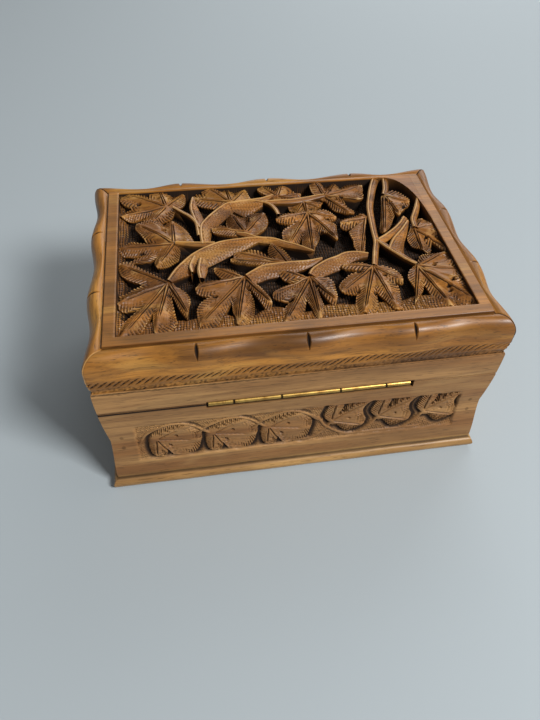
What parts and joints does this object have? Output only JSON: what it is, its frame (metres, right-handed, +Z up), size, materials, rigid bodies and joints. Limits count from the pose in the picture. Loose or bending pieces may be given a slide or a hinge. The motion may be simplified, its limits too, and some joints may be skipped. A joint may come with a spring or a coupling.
{
  "type": "keepsake box",
  "caption": "Rectangular hinged wooden keepsake box with a deeply carved leaf lid, a scalloped moulding round it and a carved frieze on each wall.",
  "frame": {"origin": "middle of the underside, on the surface the box stands on", "axes": "+X along the length, -Y towards the hinge side, +Z up"},
  "size_m": [0.203, 0.1446, 0.0997],
  "materials": {
    "walnut": "thin oil, satin",
    "walnut_polished": "polished, semi-gloss",
    "brass": "plain rolled brass, lightly dulled",
    "iron": "dark iron nail"
  },
  "bodies": {
    "box": {"bottom_board": "walnut", "wall_front": "walnut", "wall_back": "walnut", "wall_left": "walnut", "wall_right": "walnut", "hinge_leaf_body": "brass", "hinge_pin": "brass", "hinge_screws_body": "brass", "corner_nails": "iron", "bottom_nails": "iron"},
    "lid": {"lid_rail_front": "walnut", "lid_rail_back": "walnut", "lid_rail_left": "walnut", "lid_rail_right": "walnut", "moulding_front": "walnut_polished", "moulding_back": "walnut_polished", "moulding_left": "walnut_polished", "moulding_right": "walnut_polished", "carved_panel": "walnut_polished", "hinge_leaf_lid": "brass", "hinge_screws_lid": "brass"}
  },
  "joints": [
    {"name": "lid_hinge", "type": "hinge", "parent": "box", "child": "lid", "pos_m": [0.003, -0.07052, 0.0622], "axis": [1, 0, 0], "range_deg": [0, 100]}
  ]
}
